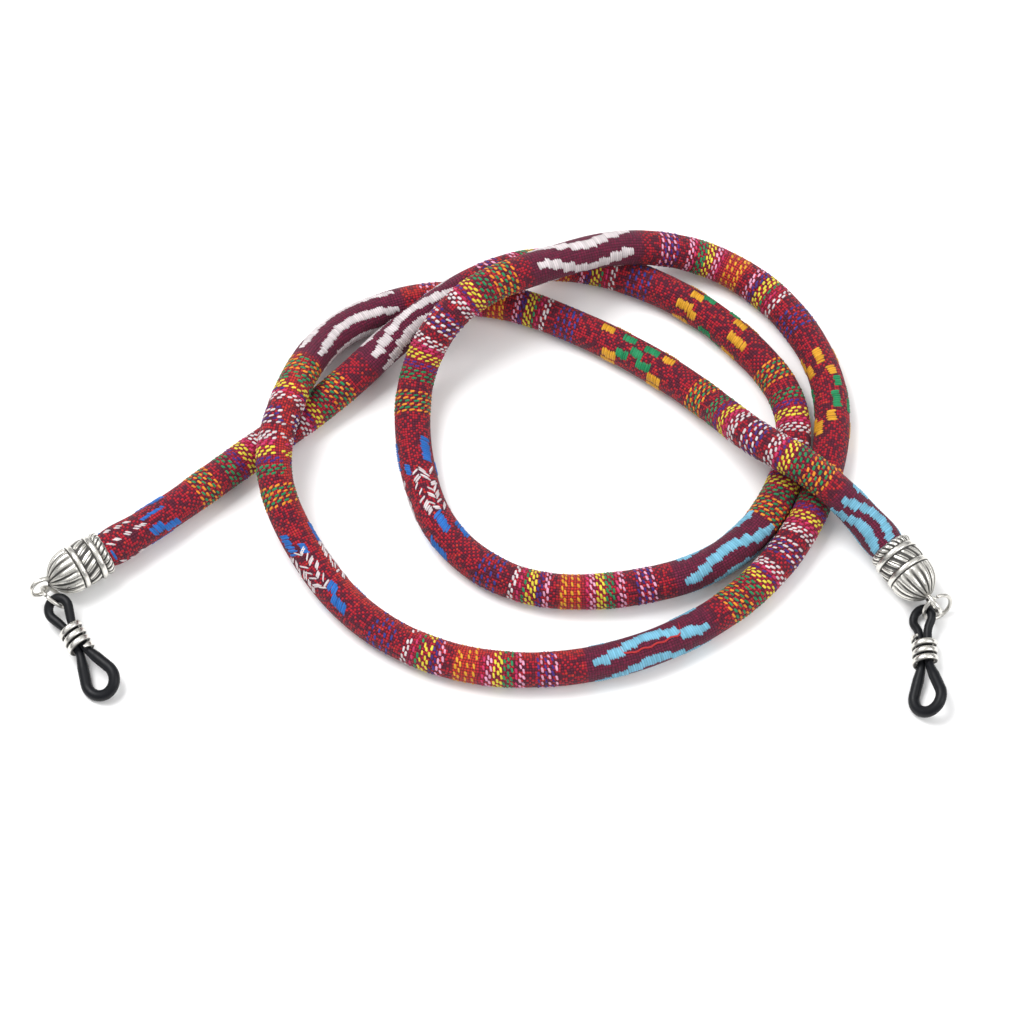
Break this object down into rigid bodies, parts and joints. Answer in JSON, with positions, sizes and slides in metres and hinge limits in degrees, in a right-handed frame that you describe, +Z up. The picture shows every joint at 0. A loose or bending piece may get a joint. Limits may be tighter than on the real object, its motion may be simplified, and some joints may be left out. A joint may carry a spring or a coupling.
{
  "type": "eyeglass retainer strap",
  "caption": "Woven cord strap for hanging glasses round the neck, with metal end caps, split rings and adjustable rubber temple loops.",
  "frame": {"origin": "middle of the bottom of the box around the metal and rubber end fittings, on the table the strap lies on", "axes": "+Z up from the table, +X from the left end fitting to the right one, +Y away from the viewer to where the loops of cord lie"},
  "size_m": [0.1634, 0.0946, 0.0176],
  "materials": {
    "woven_cover": "woven in red, maroon, orange, green, blue and white",
    "cord_filling": "soft twisted yarn",
    "antique_silver": "antique silver plated cast zinc alloy with dark recesses",
    "plated_wire": "antique silver plated steel wire",
    "black_rubber": "smooth satin",
    "clear_glue": "cured glue"
  },
  "bodies": {
    "strap": {"cord_cover": "woven_cover", "cord_core": "cord_filling", "end_cap_left": "antique_silver", "end_cap_right": "antique_silver", "cap_glue_left": "clear_glue", "cap_glue_right": "clear_glue"},
    "ring_left": {"jump_ring_left": "plated_wire"},
    "loop_left": {"rubber_loop_left": "black_rubber"},
    "coil_left": {"coil_slider_left": "plated_wire"},
    "ring_right": {"jump_ring_right": "plated_wire"},
    "loop_right": {"rubber_loop_right": "black_rubber"},
    "coil_right": {"coil_slider_right": "plated_wire"}
  },
  "joints": [
    {"name": "ring_left_swing", "type": "hinge", "parent": "strap", "child": "ring_left", "pos_m": [-0.07947, 0.00672, 0.00414], "axis": [0.1273, -0.7323, 0.6689], "range_deg": [-12, 6]},
    {"name": "loop_left_swing", "type": "hinge", "parent": "ring_left", "child": "loop_left", "pos_m": [-0.07619, 0.00358, 0.00372], "axis": [0.6421, -0.0058, -0.7666], "range_deg": [-18, 18]},
    {"name": "coil_left_slide", "type": "slide", "parent": "loop_left", "child": "coil_left", "axis": [0.5146, -0.8529, -0.0883], "range_m": [0, 0.004], "deforming": ["rubber_loop_left"]},
    {"name": "ring_right_swing", "type": "hinge", "parent": "strap", "child": "ring_right", "pos_m": [0.0775, 0.00375, 0.00523], "axis": [-0.7255, -0.5406, -0.4259], "range_deg": [-12, 12]},
    {"name": "loop_right_swing", "type": "hinge", "parent": "ring_right", "child": "loop_right", "pos_m": [0.07675, 0.00224, 0.00218], "axis": [0.3986, -0.1198, -0.9093], "range_deg": [-18, 18]},
    {"name": "coil_right_slide", "type": "slide", "parent": "loop_right", "child": "coil_right", "axis": [0.0065, -0.9996, 0.0269], "range_m": [0, 0.004], "deforming": ["rubber_loop_right"]}
  ]
}
